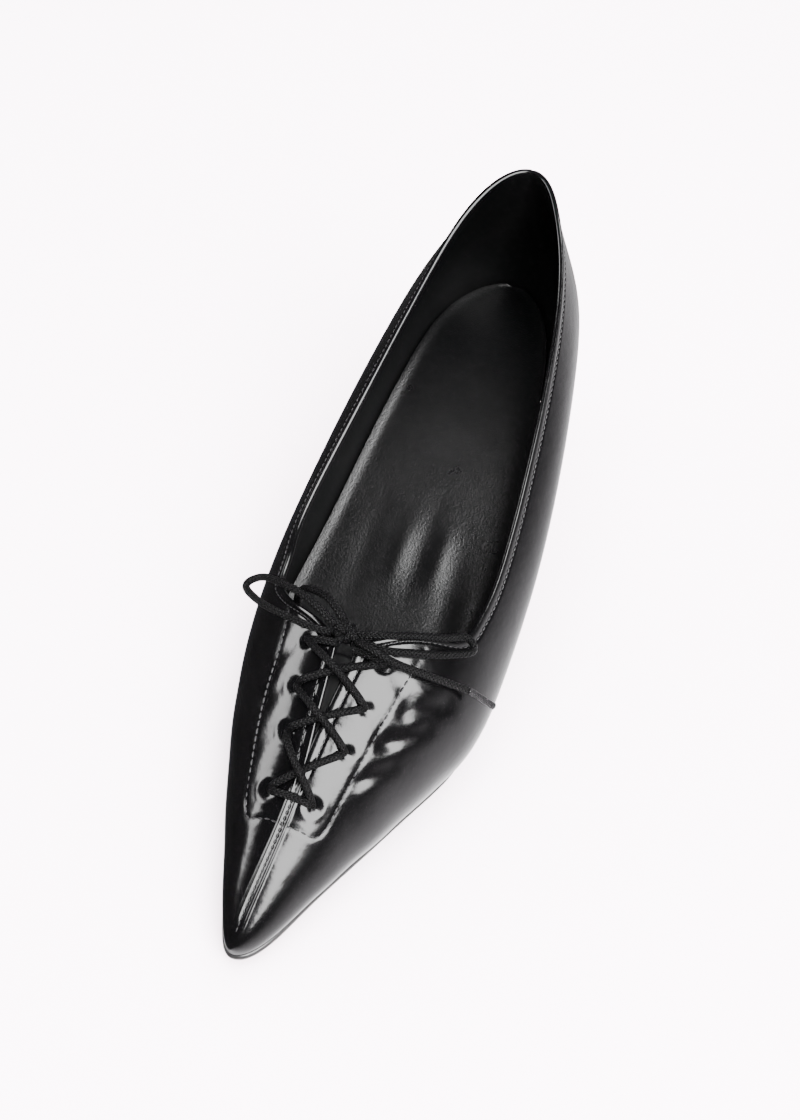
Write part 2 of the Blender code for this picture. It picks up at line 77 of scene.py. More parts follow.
TOPLINE_ROWS = (
    # station, outer height, inner height, feather station
    (0.000, 116.5, 116.5, 0.000),
    (0.030, 114.5, 115.0, 0.030),
    (0.080, 107.0, 109.5, 0.080),
    (0.160, 95.0, 98.0, 0.160),
    (0.250, 83.5, 86.0, 0.250),
    (0.340, 72.0, 74.0, 0.340),
    (0.430, 60.5, 61.0, 0.430),
    (0.510, 51.8, 51.0, 0.510),
    (0.553, 48.6, 48.0, 0.560),
)
THROAT_ROWS = (
    # outer station, outer x, inner station, inner x, feather station
    (0.576, 33.0, 0.586, -31.2, 0.594),
    (0.594, 30.0, 0.605, -28.0, 0.620),
    (0.608, 24.0, 0.622, -22.5, 0.648),
    (0.630, 13.5, 0.642, -13.0, 0.678),
    (0.660, 3.6, 0.664, -4.2, 0.708),
)
V_BOTTOM_STATION = 0.806
V_BOTTOM_FEATHER = 0.825

# Where the lace goes through, and the line of heavy stitches round the lacing
LACE_HOLES = (
    # station, outer x, inner x
    (0.836, 7.0, -7.6),
    (0.771, 10.5, -8.8),
    (0.720, 11.6, -11.4),
    (0.668, 12.0, -12.8),
)
PANEL_LINE = (
    # station, x
    (0.628, -23.4), (0.666, -21.6), (0.710, -20.8), (0.750, -19.5), (0.790, -17.4),
    (0.828, -14.9), (0.856, -12.6), (0.866, -11.0), (0.866, -5.5), (0.867, 0.4),
    (0.865, 7.0), (0.862, 10.8), (0.852, 12.2), (0.822, 13.6), (0.792, 14.8),
    (0.758, 16.2), (0.726, 17.6), (0.690, 19.2), (0.660, 20.6), (0.628, 21.8),
)

# The leather's relief, in mm: (height, its middle's distance from the line, half width)
TOP_FOLD = (0.22, 0.0, 1.6)
TOPLINE_GROOVE = (-0.22, 2.6, 0.45)
SEAM_RIDGES = (0.38, 1.15, 0.55)
SEAM_SLIT = (-0.16, 0.0, 0.38)
SEAM_END_STATION = 0.992
SEAM_FADE = 0.022
BACK_SEAM = (-0.28, 0.0, 0.45)
BACK_SEAM_REACH = 14.0
BACK_SEAM_LAST_PLACE = 0.6
PANEL_GROOVE = (-0.12, 0.0, 0.75)
HOLE_FORMS = ((-0.55, 0.0, 1.2), (-0.30, 0.0, 3.4), (0.16, 3.6, 1.1))
VAMP_SWELL = 0.16
VAMP_BACK_Y = -40.0
VAMP_FRONT_Y = -122.0
PANEL_STEP = 0.8
CREASE_STEP = 1.0
# Troughs of the vamp: from and to (station, x), half width in mm, depth in mm
VAMP_CREASES = (
    ((0.672, -30.0), (0.705, -22.0), 3.4, 0.51),
    ((0.700, -31.0), (0.735, -21.0), 3.0, 0.39),
    ((0.664, 33.0), (0.700, 23.0), 3.6, 0.54),
    ((0.700, 30.0), (0.742, 19.5), 3.0, 0.42),
    ((0.756, 24.0), (0.790, 16.5), 2.6, 0.30),
    ((0.768, -25.0), (0.800, -18.0), 2.6, 0.30),
    ((0.836, 8.0), (0.850, 11.6), 2.4, 0.18),
    ((0.836, -8.6), (0.852, -11.8), 2.4, 0.18),
    ((0.771, 12.6), (0.784, 17.4), 2.6, 0.255),
    ((0.771, -11.8), (0.786, -16.6), 2.6, 0.195),
    ((0.720, 14.0), (0.736, 21.2), 2.8, 0.30),
    ((0.720, -14.4), (0.738, -19.0), 2.8, 0.225),
    ((0.668, 15.0), (0.684, 22.4), 3.0, 0.33),
    ((0.668, -15.6), (0.688, -20.4), 3.0, 0.27),
)

# Rows of stitches, in mm: from one to the next, length, half width
TOPLINE_STITCH = (1.9, 1.45, 0.24)
LINING_STITCH = (3.4, 1.2, 0.34)
PANEL_STITCH = (2.4, 1.85, 0.30)
SEAM_STITCH = (1.8, 1.3, 0.20)
STITCH_SINK = 0.12
TOPLINE_STITCH_INSET = 2.6
LINING_STITCH_INSET = 6.0
LINING_STITCH_PLACES = (6.4, 8.6)

# The sole
SOLE_THICKNESS = 2.9
SOLE_GAP = 0.02
SOLE_PROFILE = (
    # inset, share of the height from the underside, height added
    (2.2, 1.0, 0.0),
    (0.1, 1.0, 0.0),
    (-0.35, 1.0, -0.35),
    (-0.55, 0.5, 0.0),
    (-0.3, 0.0, 0.3),
    (0.3, 0.0, 0.0),
    (1.2, 0.0, 0.0),
)
SOLE_TAPER = 3.0

# The insole, its sock and the tongue
INSOLE_THICKNESS = 2.2
INSOLE_BACK = 0.004
INSOLE_FRONT = 0.955
SOCK_INSET = 1.75
SOCK_CUP_HEIGHT = 0.9
SOCK_CUP_WIDTH = 2.2
# Soft lengthwise folds of the sock: x at the ball, first and last station, half width, height, in mm
SOCK_FOLDS = (
    (-15.0, 0.34, 0.56, 4.2, -0.30),
    (-3.0, 0.37, 0.50, 3.0, 0.50),
    (4.0, 0.33, 0.52, 3.2, -0.40),
    (11.0, 0.37, 0.49, 2.8, 0.55),
    (18.0, 0.36, 0.57, 3.4, -0.35),
    (26.0, 0.42, 0.60, 3.4, 0.60),
)
TONGUE_FRONT = 0.860
TONGUE_BACK = 0.675
TONGUE_HALF_FRONT = 8.0
TONGUE_HALF_BACK = 15.0
TONGUE_TOP_DEPTH = 1.75
TONGUE_UNDER_DEPTH = 3.0

# The heel and its tip
HEEL_TIP_HEIGHT = 6.0
HEEL_TIP_HALF = 6.2
HEEL_TIP_LENGTH = 12.5
HEEL_TIP_BACK_Y = 112.0
HEEL_TIP_PROFILE = (
    # height, inset
    (0.0, 0.5),
    (0.15, 0.15),
    (0.5, 0.0),
    (5.5, 0.0),
    (5.95, 0.3),
)
HEEL_FLARE = 3.0
HEEL_GAP = 0.05

# The lace: sizes, and the routes of its free cords, in mm
LACE_RADIUS = 1.2
AGLET_RADIUS = 1.2
AGLET_CORE_RADIUS = 1.08
LACE_LIFT = 1.6
LACE_CROSSING_LIFT = 2.0
RUN_STAGGER = 0.3
LACE_TO_KNOT = 1.6
HOLE_DIP = 3.0
HOLE_REACH = 1.9
LACE_STEP = 0.5
CORD_STEP = 0.6
KNOT_STEP = 0.4
KNOT_CENTRE = np.array((-0.3, -44.2, 56.5))
KNOT_HALF_DEPTH = 3.4
KNOT_RUN_SPREAD = 2.6
KNOT_RUN_DROP = -1.4
KNOT_RUN_OVERLAP = 1.5
KNOT_RUN_HUMP = 0.4
KNOT_RUN_RISE_PART = 0.22
KNOT_BAND = (0.5, 2.2, 1.9)
KNOT_STRANDS = (
    ((-5.0, 0.6, 1.4), (-2.4, 0.2, 1.2), (0.4, -1.0, 0.2), (2.6, -2.6, -1.0)),
    ((5.0, 0.4, 1.4), (2.4, 0.2, 1.0), (-0.4, -1.0, -0.2), (-2.6, -2.6, -1.2)),
    ((-4.6, -1.6, 0.2), (-2.0, -0.4, -0.6), (2.0, -0.4, -0.6), (4.9, -1.3, 0.0)),
    ((-3.2, 2.4, 1.9), (-1.2, 0.8, 2.2), (1.0, -1.0, 2.3), (3.0, -2.6, 2.1)),
)
CORD_ROUTES = {
    "bow_loop_inner": (
        (-5.3, -43.8, 58.2), (-12.6, -40.6, 59.4), (-21.0, -37.0, 58.6), (-29.0, -34.6, 56.4),
        (-35.2, -34.4, 54.2), (-37.8, -37.4, 53.0), (-34.2, -40.6, 53.0), (-27.2, -43.2, 54.0),
        (-19.0, -45.0, 55.4), (-12.0, -46.2, 56.6), (-5.8, -45.8, 56.8),
    ),
    "bow_loop_outer": (
        (4.8, -43.7, 58.4), (12.2, -42.0, 60.0), (20.6, -38.0, 58.9), (28.6, -33.3, 56.4),
        (34.0, -30.8, 54.6), (35.9, -32.8, 53.5), (32.6, -36.0, 53.4), (26.6, -39.6, 54.6),
        (18.7, -43.4, 56.6), (11.4, -45.9, 57.2), (5.6, -45.3, 56.4),
    ),
    "lace_end_inner": (
        (-3.4, -41.5, 58.6), (-9.6, -36.8, 58.9), (-16.0, -33.2, 56.2), (-20.6, -31.4, 52.4),
        (-23.0, -30.6, 47.0), (-23.8, -30.2, 41.6), (-23.6, -30.0, 36.0),
    ),
    "lace_end_outer": (
        (3.1, -47.0, 58.7), (8.8, -49.2, 60.6), (15.6, -49.8, 59.0), (22.0, -48.4, 56.0),
        (28.0, -46.6, 52.8), (33.0, -44.8, 49.8), (37.8, -43.0, 46.8),
    ),
}
AGLET_ROUTES = {
    "aglet_inner": ((-23.6, -30.0, 35.6), (-23.0, -29.8, 30.4), (-22.2, -29.6, 25.2)),
    "aglet_outer": ((38.1, -42.9, 46.6), (42.4, -41.8, 42.8), (46.6, -40.8, 39.0)),
}

# The studio, in metres
FLOOR_LEVEL = -0.0003
FLOOR_RADIUS = 4.0
STUDIO_WALL_HEIGHT = 6.0
STUDIO_SIDES = 64
STUDIO_WALL_GLOW = 1.6
LIGHT_TARGET = (0, -0.02, 0.04)
LIGHTS = (
    # name, place, width, height, watts, whether the leather mirrors it
    ("main_box", (0.81, -0.53, 1.19), 0.90, 1.20, 112, True),
    ("left_box", (-1.12, -0.20, 0.44), 0.50, 0.40, 11, True),
    ("back_box", (0.15, 0.95, 1.05), 0.70, 0.50, 22, False),
    ("ceiling", (0.0, 0.1, 1.75), 1.8, 1.8, 190, False),
)
# The room's brightness from up on the shoe's inner side to down on its outer side, as (place, level)
ROOM_LEVELS = ((0.0, 0.05), (0.70, 0.08), (0.80, 1.3), (0.9, 2.8), (1.0, 3.6))
ROOM_SLOPE = (0.75, 0.0, -0.9)

# The camera stands where the photo's stood, and is turned until the shoe is near the middle:
# its place in mm, its turns about X, Y and Z in degrees, its lens and sensor in mm
CAMERA_PLACE = np.array((64.9, -231.7, 361.8))
CAMERA_TURNS = (36.59, -3.69, 20.49)
CAMERA_LENS = 38.66
CAMERA_SENSOR_HEIGHT = 36.0

# How finely each piece is divided
STRIPS_A_ROW = 16
V_STRIPS = 34
VAMP_STRIPS = 110
SKIN_LEVELS = 84
LINING_LEVELS = 30
RIM_STEPS = 7
RIM_ROUNDNESS = 0.8
WELD_REACH = 0.03
STITCH_SIDES = 6
STITCH_RINGS = 5
SOLE_ROWS = 150
SOCK_ROWS = 200
SOCK_COLUMNS = 60
TONGUE_ROWS = 48
TONGUE_COLUMNS = 12
HEEL_ROWS = 40
HEEL_LEVELS = 64
HEEL_TIP_POINTS = 72
TUBE_SIDES = 18
LACE_RUN_STEPS = 44


def natural_spline(knots, values):
    """A function of arrays: the natural cubic spline through the knots."""
    knots = np.asarray(knots, float)
    values = np.asarray(values, float)
    spans = np.diff(knots)
    slopes = np.diff(values) / spans
    count = len(knots)
    system = np.eye(count)
    right = np.zeros(count)
    for i in range(1, count - 1):
        system[i, i - 1] = spans[i - 1]
        system[i, i] = 2 * (spans[i - 1] + spans[i])
        system[i, i + 1] = spans[i]
        right[i] = 6 * (slopes[i] - slopes[i - 1])
    bends = np.linalg.solve(system, right)

    def value_at(where):
        where = np.asarray(where, float)
        i = np.clip(np.searchsorted(knots, where) - 1, 0, count - 2)
        span = spans[i]
        ahead = knots[i + 1] - where
        behind = where - knots[i]
        curved = (bends[i] * ahead ** 3 + bends[i + 1] * behind ** 3) / (6 * span)
        low = (values[i] / span - bends[i] * span / 6) * ahead
        high = (values[i + 1] / span - bends[i + 1] * span / 6) * behind
        return curved + low + high

    return value_at


def turn_of(station):
    return np.arccos(np.clip(1 - 2 * np.asarray(station, float), -1, 1)) / math.pi


def station_of(turn):
    return (1 - np.cos(math.pi * turn)) / 2


COLUMNS = [natural_spline(turn_of(LAST_ROWS[:, 0]), LAST_ROWS[:, k]) for k in range(1, 9)]
OUTER_HALF, INNER_HALF, FEATHER, RIDGE, OUTER_BULGE, INNER_BULGE, LEVEL, RIDGE_X = COLUMNS


def last_points(turn, share, side):
    """Points of the last, in mm: share 0 is the feather line and 1 the ridge."""
    turn, share = np.broadcast_arrays(turn, share)
    half = OUTER_HALF(turn) if side == OUTER else INNER_HALF(turn)
    bulge = OUTER_BULGE(turn) if side == OUTER else INNER_BULGE(turn)
    middle = RIDGE_X(turn)
    feather = FEATHER(turn)
    angle = share * math.pi / 2
    rise = np.sin(angle) ** SECTION_FULLNESS
    level = LEVEL(turn)
    power = 1 / level ** 2 - 1
    peak = level * (1 - level ** 2) ** (power / 2)
    swell = rise * np.maximum(0, 1 - rise ** 2) ** (power / 2) / peak
    height = (RIDGE(turn) - feather) * rise
    station = station_of(turn)
    near_back = np.exp(-(station / HEEL_CURVE_REACH) ** 2)
    lean = HEEL_CURVE_OUT * swell - HEEL_CURVE_IN * (height / COUNTER_HEIGHT) ** 2
    x = middle + (half - middle) * np.cos(angle) + side * bulge * swell
    y = HEEL_BACK_Y - SHOE_LENGTH * station + near_back * lean
    return np.stack((x, y, feather + height), axis=-1)


def skin_normals(turn, share, side):
    """Directions that point out of the last."""
    step = 0.004
    turn, share = np.broadcast_arrays(turn, share)
    turn_low, turn_high = np.maximum(0.001, turn - step), np.minimum(0.999, turn + step)
    share_low, share_high = np.maximum(0.002, share - step), np.minimum(1.0, share + step)
    along = last_points(turn_high, share, side) - last_points(turn_low, share, side)
    around = last_points(turn, share_high, side) - last_points(turn, share_low, side)
    normal = np.cross(around, along) * side
    length = np.linalg.norm(normal, axis=-1, keepdims=True)
    return normal / np.maximum(length, 1e-9)


def share_at_x(turn, x):
    """The side and share of the place on the last that lies at x."""
    side = OUTER if x >= RIDGE_X(turn) else INNER
    low, high = 0.3, 1.0
    for _ in range(26):
        middle = (low + high) / 2
        if side * (last_points(turn, middle, side)[0] - x) > 0:
            low = middle
        else:
            high = middle
    return side, (low + high) / 2


def over_skin(station, x, lift):
    turn = float(turn_of(station))
    side, share = share_at_x(turn, x)
    return last_points(turn, share, side) + skin_normals(turn, share, side) * lift


def share_at_height(turn, height):
    rise = (height - FEATHER(turn)) / (RIDGE(turn) - FEATHER(turn))
    return math.asin(float(rise) ** (1 / SECTION_FULLNESS)) / (math.pi / 2)


def edge_curves(side):
    """Splines over the strips' places: foot turn, top turn and top share."""
    rows = []
    for row in TOPLINE_ROWS:
        turn = float(turn_of(row[0]))
        rows.append((float(turn_of(row[3])), turn, share_at_height(turn, row[1 if side == OUTER else 2])))
    for outer_station, outer_x, inner_station, inner_x, feather_station in THROAT_ROWS:
        station, x = (outer_station, outer_x) if side == OUTER else (inner_station, inner_x)
        turn = float(turn_of(station))
        rows.append((float(turn_of(feather_station)), turn, share_at_x(turn, x)[1]))
    places = np.arange(len(rows))
    return [natural_spline(places, [row[k] for row in rows]) for k in range(3)], rows[-1]


LAST_PLACE = len(TOPLINE_ROWS) + len(THROAT_ROWS) - 1
V_PLACE = LAST_PLACE + 1
EDGES = {side: edge_curves(side) for side in (OUTER, INNER)}
V_BOTTOM = np.array((float(turn_of(V_BOTTOM_FEATHER)), float(turn_of(V_BOTTOM_STATION)), 1.0))


def strip_ends(place, side):
    """Foot turn, top turn and top share of the strips at these places."""
    curves, v_top = EDGES[side]
    place = np.asarray(place, float)
    open_part = [curve(np.minimum(place, LAST_PLACE)) for curve in curves]
    v_part = np.clip(place - LAST_PLACE, 0, 1)
    toe_part = np.clip(place - V_PLACE, 0, 1)
    ends = []
    for k in range(3):
        toward_v = open_part[k] + (V_BOTTOM[k] - v_top[k]) * v_part
        ends.append(np.where(place <= V_PLACE, toward_v, V_BOTTOM[k] + (1.0 - V_BOTTOM[k]) * toe_part))
    return ends


def skin_places(place, part, side):
    """Turn and share on the last for places along the edge and parts of the way up."""
    foot, top, top_share = strip_ends(place, side)
    turn = foot + (top - foot) * part
    return np.clip(turn, 0.0, 1.0), np.clip(top_share * part, 0.0, 1.0)


def distance_along(line):
    """How far along a line each of its points lies."""
    gaps = np.linalg.norm(np.diff(line, axis=0), axis=1)
    return np.concatenate(((0.0,), np.cumsum(gaps)))


def smooth_route(points, step):
    """Points evenly spaced on a smooth curve through the route's own points."""
    points = np.asarray(points, float)
    knots = distance_along(points)
    count = max(4, round(knots[-1] / step))
    where = np.linspace(0, knots[-1], count + 1)
    return np.stack([natural_spline(knots, points[:, k])(where) for k in range(3)], axis=1)


def to_world(points):
    return (np.asarray(points, float) - ORIGIN) * MM


def add_mesh(name, points, faces, looks, face_looks=None, uvs=None):
    """A piece of the shoe from points in mm, shaded smooth and tied to the shoe."""
    mesh = bpy.data.meshes.new(name)
    mesh.from_pydata(to_world(points).tolist(), [], [list(face) for face in faces])
    for look in looks:
        mesh.materials.append(look)
    if face_looks is not None:
        mesh.polygons.foreach_set("material_index", np.asarray(face_looks, dtype=np.int32))
    if uvs is not None:
        layer = mesh.uv_layers.new(name="along")
        loops = np.zeros(len(mesh.loops), dtype=np.int32)
        mesh.loops.foreach_get("vertex_index", loops)
        layer.data.foreach_set("uv", np.asarray(uvs, float)[loops].ravel())
    mesh.shade_smooth()
    mesh.update()
    piece = bpy.data.objects.new(name, mesh)
    bpy.context.scene.collection.objects.link(piece)
    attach(piece, "root")
    return piece


def grid_faces(rows, columns, offset=0, closed=False, flip=False):
    """Quads between the points of a grid stored row by row."""
    faces = []
    last = columns if closed else columns - 1
    for i in range(rows - 1):
        for j in range(last):
            k = (j + 1) % columns
            a = offset + i * columns + j
            b = offset + i * columns + k
            c = offset + (i + 1) * columns + k
            d = offset + (i + 1) * columns + j
            faces.append((a, d, c, b) if flip else (a, b, c, d))
    return faces


def end_faces(rows, columns, flip=False):
    """The two faces that close the first and last rings of a grid."""
    first = tuple(range(columns))
    last = tuple(range((rows - 1) * columns, rows * columns))
    return [first, last[::-1]] if flip else [first[::-1], last]


def keep_crisp(piece, degrees):
    crisp = piece.modifiers.new("crisp", "EDGE_SPLIT")
    crisp.split_angle = math.radians(degrees)


# The looks


def set_input(shader, name, value):
    shader.inputs[name].default_value = value


def make_look(name, colour, roughness, shine=0.5, bumps=(), mottle=0.0):
    """A surface with procedural grain: each bump is (scale per metre, strength, depth in mm)."""
    look = bpy.data.materials.new(name)
    look.use_nodes = True
    nodes, links = look.node_tree.nodes, look.node_tree.links
    shader = nodes["Principled BSDF"]
    set_input(shader, "Base Color", (*colour, 1))
    set_input(shader, "Roughness", roughness)
    set_input(shader, "Specular IOR Level", shine)
    where = nodes.new("ShaderNodeTexCoord")
    normal = None
    for scale, strength, depth in bumps:
        grain = nodes.new("ShaderNodeTexNoise")
        set_input(grain, "Scale", scale)
        set_input(grain, "Detail", 3.0)
        set_input(grain, "Roughness", 0.55)
        links.new(where.outputs["Object"], grain.inputs["Vector"])
        bump = nodes.new("ShaderNodeBump")
        set_input(bump, "Strength", strength)
        set_input(bump, "Distance", depth * MM)
        links.new(grain.outputs["Fac"], bump.inputs["Height"])
        if normal is not None:
            links.new(normal, bump.inputs["Normal"])
        normal = bump.outputs["Normal"]
    if normal is not None:
        links.new(normal, shader.inputs["Normal"])
    if mottle:
        cloud = nodes.new("ShaderNodeTexNoise")
        set_input(cloud, "Scale", 60.0)
        set_input(cloud, "Detail", 4.0)
        spread = nodes.new("ShaderNodeMapRange")
        set_input(spread, "To Min", max(0.0, roughness - mottle))
        set_input(spread, "To Max", roughness + mottle)
        links.new(where.outputs["Object"], cloud.inputs["Vector"])
        links.new(cloud.outputs["Fac"], spread.inputs["Value"])
        links.new(spread.outputs["Result"], shader.inputs["Roughness"])
    return look


def make_braid_look(name, colour):
    """A round waxed braid: two families of strands that cross along the cord."""
    look = make_look(name, colour, 0.50, shine=0.14)
    nodes, links = look.node_tree.nodes, look.node_tree.links
    shader = nodes["Principled BSDF"]
    along = nodes.new("ShaderNodeUVMap")
    along.uv_map = "along"
    heights = []
    for slant in (1, -1):
        mapping = nodes.new("ShaderNodeMapping")
        set_input(mapping, "Rotation", (0, 0, slant * math.radians(45)))
        strands = nodes.new("ShaderNodeTexWave")
        strands.wave_profile = "SIN"
        set_input(strands, "Scale", 0.85)
        set_input(strands, "Distortion", 0.3)
        links.new(along.outputs["UV"], mapping.inputs["Vector"])
        links.new(mapping.outputs["Vector"], strands.inputs["Vector"])
        heights.append(strands.outputs["Fac"])
    join = nodes.new("ShaderNodeMath")
    join.operation = "MAXIMUM"
    links.new(heights[0], join.inputs[0])
    links.new(heights[1], join.inputs[1])
    bump = nodes.new("ShaderNodeBump")
    set_input(bump, "Strength", 1.0)
    set_input(bump, "Distance", 0.42 * MM)
    links.new(join.outputs[0], bump.inputs["Height"])
    links.new(bump.outputs["Normal"], shader.inputs["Normal"])
    return look


LEATHER = make_look("high_shine_leather", (0.0009, 0.0009, 0.0010), 0.15, shine=0.30,
                    bumps=((85, 0.30, 0.60), (300, 0.12, 0.30), (1500, 0.12, 0.09)), mottle=0.04)
LINING = make_look("lining_leather_smooth", (0.0010, 0.0010, 0.0011), 0.38, shine=0.30,
                   bumps=((900, 0.15, 0.15), (3200, 0.22, 0.06)), mottle=0.06)
SOCK = make_look("insole_sock_grain", (0.0010, 0.0010, 0.0011), 0.30, shine=0.26,
                 bumps=((500, 0.15, 0.25), (1500, 0.9, 0.16)), mottle=0.07)
TONGUE_SKIN = make_look("tongue_leather", (0.0011, 0.0011, 0.0012), 0.32, shine=0.30,
                        bumps=((700, 0.15, 0.2), (2600, 0.25, 0.06)), mottle=0.05)
SOLE_EDGE = make_look("sole_edge_black", (0.010, 0.010, 0.010), 0.30, bumps=((900, 0.2, 0.1),), mottle=0.05)
SOLE_TAN = make_look("sole_tan", (0.36, 0.21, 0.13), 0.45, bumps=((1300, 0.2, 0.08),), mottle=0.08)
RUBBER = make_look("heel_tip_rubber", (0.014, 0.014, 0.014), 0.62, bumps=((1600, 0.35, 0.12),))
THREAD = make_look("heavy_thread", (0.0090, 0.0090, 0.0095), 0.30, shine=0.45, bumps=((2600, 0.3, 0.1),))
BRAID = make_braid_look("waxed_braid", (0.0011, 0.0011, 0.0012))
CLEAR = make_look("clear_tip", (0.13, 0.13, 0.135), 0.08, shine=0.4)
set_input(CLEAR.node_tree.nodes["Principled BSDF"], "Transmission Weight", 0.95)
set_input(CLEAR.node_tree.nodes["Principled BSDF"], "IOR", 1.35)
PALE_FLOOR = make_look("pale_floor", (0.98, 0.87, 0.94), 0.75)
PALE_WALL = make_look("pale_wall", (0.90, 0.86, 0.88), 0.80)
set_input(PALE_WALL.node_tree.nodes["Principled BSDF"], "Emission Color", (1.0, 0.96, 0.98, 1))
set_input(PALE_WALL.node_tree.nodes["Principled BSDF"], "Emission Strength", STUDIO_WALL_GLOW)


# The upper


def distances(points, line):
    """Distance from each point to the nearest sample of a line."""
    nearest = np.full(points.shape[:-1], 1e9)
    for spot in line:
        nearest = np.minimum(nearest, np.sum((points - spot) ** 2, axis=-1))
    return np.sqrt(nearest)


def panel_points(lift):
    return smooth_route([over_skin(station, x, lift) for station, x in PANEL_LINE], PANEL_STEP)


def hole_spots():
    spots = []
    for station, outer_x, inner_x in LACE_HOLES:
        spots.append((station, outer_x))
        spots.append((station, inner_x))
    return spots


def line_over_skin(start, end, steps):
    """Points on the skin from one (station, x) to another."""
    parts = [i / steps for i in range(steps + 1)]
    return [over_skin(start[0] + (end[0] - start[0]) * part, start[1] + (end[1] - start[1]) * part, 0.0)
            for part in parts]


def rounded(distance, form, power=2):
    """The height of a ridge or trough at a distance from its line."""
    height, middle, half_width = form
    return height * np.exp(-((distance - middle) / half_width) ** power)


def skin_relief(points, place, gap_to_edge):
    """How far the finished leather stands off the last's skin, in mm."""
    x, y = points[..., 0], points[..., 1]
    edge = rounded(gap_to_edge, TOP_FOLD, 4) + rounded(gap_to_edge, TOPLINE_GROOVE)
    relief = np.where(place <= V_PLACE, edge, 0.0)
    turn = turn_of((HEEL_BACK_Y - y) / SHOE_LENGTH)
    from_ridge = np.abs(x - RIDGE_X(turn))
    seam = rounded(from_ridge, SEAM_RIDGES) + rounded(from_ridge, SEAM_SLIT)
    tip_fade = np.clip((SEAM_END_STATION - station_of(turn)) / SEAM_FADE, 0, 1)
    relief += np.where(place >= V_PLACE - 0.02, seam * tip_fade, 0.0)
    at_back = (y > HEEL_BACK_Y - BACK_SEAM_REACH) & (place < BACK_SEAM_LAST_PLACE)
    relief += np.where(at_back, rounded(x, BACK_SEAM), 0.0)
    relief += rounded(distances(points, panel_points(0.0)), PANEL_GROOVE)
    for station, hole_x in hole_spots():
        away = np.linalg.norm(points - over_skin(station, hole_x, 0.0), axis=-1)
        for form in HOLE_FORMS:
            relief += rounded(away, form)
    for start, end, half_width, depth in VAMP_CREASES:
        line = smooth_route(line_over_skin(start, end, 3), CREASE_STEP)
        relief += rounded(distances(points, line), (-depth, 0.0, half_width))
    swell = np.sin(0.21 * y + 0.11 * x) * np.sin(0.17 * x + 0.8)
    on_vamp = np.clip((VAMP_BACK_Y - y) / 25, 0, 1) * np.clip((y - VAMP_FRONT_Y) / 20, 0, 1)
    return relief + VAMP_SWELL * swell * on_vamp


def wall_at(points):
    from_tip = points[..., 1] - (HEEL_BACK_Y - SHOE_LENGTH)
    return WALL * np.minimum(1.0, TOE_TIP_WALL_SHARE + np.maximum(0, from_tip) / THIN_TOE_LENGTH)


def strip_places():
    open_places = np.arange(0, LAST_PLACE * STRIPS_A_ROW) / STRIPS_A_ROW
    v_places = LAST_PLACE + np.arange(V_STRIPS) / V_STRIPS
    vamp_places = V_PLACE + np.arange(VAMP_STRIPS + 1) / VAMP_STRIPS
    return np.concatenate((open_places, v_places, vamp_places))


def skin_grid(places, levels, side):
    """Points, normals and distance below the top edge for a grid of places by levels."""
    turn, share = skin_places(places[:, None], levels[None, :], side)
    points = last_points(turn, share, side)
    normals = skin_normals(turn, share, side)
    steps = np.linalg.norm(np.diff(points, axis=1), axis=-1)
    below = np.concatenate((np.zeros((len(places), 1)), np.cumsum(steps[:, ::-1], axis=1)), axis=1)[:, ::-1]
    return points, normals, below


def make_rim(skin, inside):
    """The rounded top edge between the outside and the lining."""
    top, under = skin[:, -1], inside[:, -1]
    upward = top - skin[:, -3]
    upward /= np.maximum(np.linalg.norm(upward, axis=-1, keepdims=True), 1e-9)
    middle, reach = (top + under) / 2, (top - under) / 2
    size = np.linalg.norm(reach, axis=-1, keepdims=True)
    rim = []
    for step in range(RIM_STEPS + 1):
        angle = math.pi * step / RIM_STEPS
        rim.append(middle + reach * math.cos(angle) + upward * size * RIM_ROUNDNESS * math.sin(angle))
    return np.stack(rim, axis=1)


def make_upper():
    """Each side's skin, its lining and the rim between them, joined where they meet."""
    places = strip_places()
    open_count = int(np.sum(places <= V_PLACE + 1e-9))
    skin_levels = 1 - (1 - np.linspace(0, 1, SKIN_LEVELS + 1)) ** 1.5
    lining_levels = np.linspace(0, 1, LINING_LEVELS + 1)
    sheets = []
    for side in (OUTER, INNER):
        skin, normals, below = skin_grid(places, skin_levels, side)
        relief = skin_relief(skin, places[:, None] * np.ones_like(below), below)
        skin = skin + normals * relief[..., None]
        bare, bare_normals, _ = skin_grid(places, lining_levels, side)
        inside = bare - bare_normals * wall_at(bare)[..., None]
        inside[:, 0, 2] = bare[:, 0, 2]
        sheets.append((skin, 0, side == INNER))
        sheets.append((inside, 1, side == OUTER))
        sheets.append((make_rim(skin[:open_count], inside[:open_count]), 0, side == INNER))
    points, faces, face_looks = [], [], []
    count = 0
    for sheet, look, flip in sheets:
        rows, columns = sheet.shape[:2]
        points.append(sheet.reshape(-1, 3))
        faces += grid_faces(rows, columns, count, flip=flip)
        face_looks += [look] * ((rows - 1) * (columns - 1))
        count += rows * columns
    piece = add_mesh("upper_leather", np.concatenate(points), faces, (LEATHER, LINING), face_looks)
    weld = piece.modifiers.new("weld", "WELD")
    weld.merge_threshold = WELD_REACH * MM
    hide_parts("upper")


# Stitches


